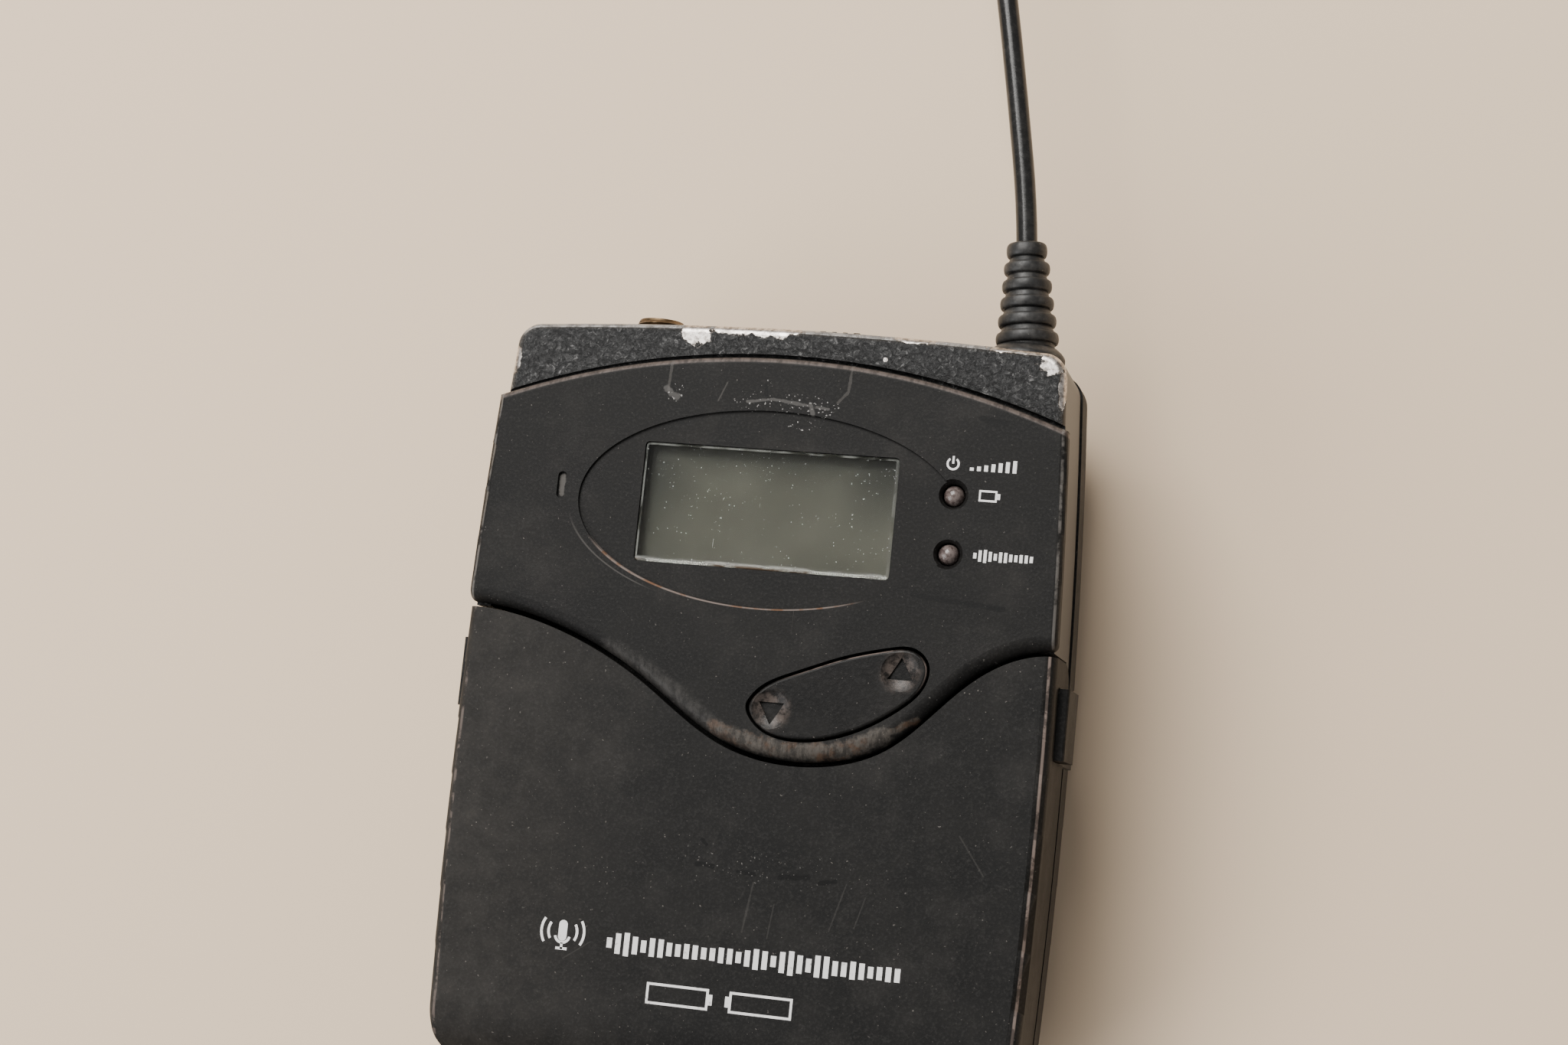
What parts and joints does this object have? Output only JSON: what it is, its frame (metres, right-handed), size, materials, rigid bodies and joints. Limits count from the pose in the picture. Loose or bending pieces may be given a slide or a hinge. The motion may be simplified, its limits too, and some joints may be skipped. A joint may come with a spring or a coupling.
{
  "type": "wireless bodypack transmitter",
  "caption": "Pocket radio transmitter case with a display, rocker button, hinged battery cover, ribbed flexible antenna and sprung belt clip.",
  "frame": {"origin": "on the outer face of the belt clip, on the case's centre line, 41 mm above its lower end", "axes": "+Z out of the front face, +Y towards the antenna end, +X to the right seen from the front"},
  "size_m": [0.0662, 0.1903, 0.0301],
  "materials": {
    "shell_plastic": "moulded black plastic, fine spark-eroded texture",
    "painted_casting": "black paint with a coarse wrinkle over die-cast metal, chipped to bright metal on the edges",
    "panel_plastic": "black plastic with a soft fine texture, worn at the edges",
    "label_foil": "blank satin foil plate",
    "cover_plastic": "black plastic with a soft fine texture, worn at the edges",
    "catch_plastic": "black moulded plastic",
    "spring_steel": "bright drawn wire",
    "button_plastic": "black moulded plastic, polished by use",
    "inner_plastic": "dark grey moulded plastic",
    "contact_metal": "tin plated sheet",
    "window_clear": "clear polished acrylic",
    "display_glass": "grey-green reflective display",
    "rubber_strip": "matte elastomer",
    "board_laminate": "green solder mask over laminate",
    "chip_plastic": "moulded component bodies",
    "brass": "turned brass, slightly tarnished",
    "boot_rubber": "black moulded elastomer, satin",
    "whip_rubber": "black extruded sheath, semi-gloss",
    "pin_steel": "ground steel",
    "clip_steel": "black coated spring steel, rubbed at the edges",
    "screw_steel": "blackened steel",
    "lamp_clear": "clear cast lamp",
    "cell_wrap": "plain printed sleeve over a steel can"
  },
  "bodies": {
    "case": {"antenna_boot": "boot_rubber", "antenna_core": "spring_steel", "antenna_ferrule": "brass", "antenna_tip": "boot_rubber", "antenna_whip": "whip_rubber", "battery_tray": "inner_plastic", "board_components": "chip_plastic", "board_connector": "inner_plastic", "board_screws": "screw_steel", "cell_lower": "cell_wrap", "cell_upper": "cell_wrap", "chassis_frame": "painted_casting", "contact_plates": "contact_metal", "contact_springs": "spring_steel", "display_board": "board_laminate", "front_panel": "panel_plastic", "hinge_pin": "pin_steel", "housing_screws": "screw_steel", "lcd_holder": "inner_plastic", "lcd_module": "display_glass", "lcd_strips": "rubber_strip", "lcd_window": "window_clear", "led_peak": "lamp_clear", "led_power": "lamp_clear", "main_board": "board_laminate", "mic_jack_body": "inner_plastic", "mic_jack_collar": "brass", "mute_switch_body": "inner_plastic", "rear_label": "label_foil", "rear_shell": "shell_plastic", "rf_shield": "contact_metal", "rocker_saddle": "inner_plastic", "switch_domes": "contact_metal"},
    "battery_cover": {"battery_cover": "cover_plastic"},
    "catch_left": {"catch_left": "catch_plastic", "catch_spring_left": "spring_steel"},
    "catch_right": {"catch_right": "catch_plastic", "catch_spring_right": "spring_steel"},
    "rocker": {"rocker_button": "button_plastic"},
    "set_button": {"set_button": "button_plastic"},
    "power_button": {"power_button": "button_plastic"},
    "mute_knob": {"mute_knob": "button_plastic"},
    "belt_clip": {"belt_clip": "clip_steel"}
  },
  "joints": [
    {"name": "cover_hinge", "type": "hinge", "parent": "case", "child": "battery_cover", "pos_m": [0, -0.03915, 0.0146], "axis": [1, 0, 0], "range_deg": [0, 95]},
    {"name": "catch_left_slide", "type": "slide", "parent": "battery_cover", "child": "catch_left", "axis": [1, 0, 0], "range_m": [0, 0.001], "stiffness_N_per_m": 1500, "springref_m": -0.0008, "deforming": ["catch_spring_left"]},
    {"name": "catch_right_slide", "type": "slide", "parent": "battery_cover", "child": "catch_right", "axis": [-1, 0, 0], "range_m": [0, 0.001], "stiffness_N_per_m": 1500, "springref_m": -0.0008, "deforming": ["catch_spring_right"]},
    {"name": "rocker_tilt", "type": "hinge", "parent": "case", "child": "rocker", "pos_m": [0.00934, 0.00297, 0.02605], "axis": [-0.3551, 0.9348, 0], "range_deg": [-3.5, 3.5], "stiffness_Nm_per_rad": 0.6},
    {"name": "set_button_press", "type": "slide", "parent": "case", "child": "set_button", "axis": [0, 0, -1], "range_m": [0, 0.0005], "stiffness_N_per_m": 2500, "springref_m": -0.0003},
    {"name": "power_button_press", "type": "slide", "parent": "case", "child": "power_button", "axis": [0, 0, -1], "range_m": [0, 0.0005], "stiffness_N_per_m": 2500, "springref_m": -0.0003},
    {"name": "mute_slide", "type": "slide", "parent": "case", "child": "mute_knob", "axis": [1, 0, 0], "range_m": [0, 0.0024]},
    {"name": "belt_clip_flex", "type": "hinge", "parent": "case", "child": "belt_clip", "pos_m": [0, 0.0018, 0.0132], "axis": [1, 0, 0], "range_deg": [0, 8], "stiffness_Nm_per_rad": 1.2, "springref_deg": -6.88}
  ]
}
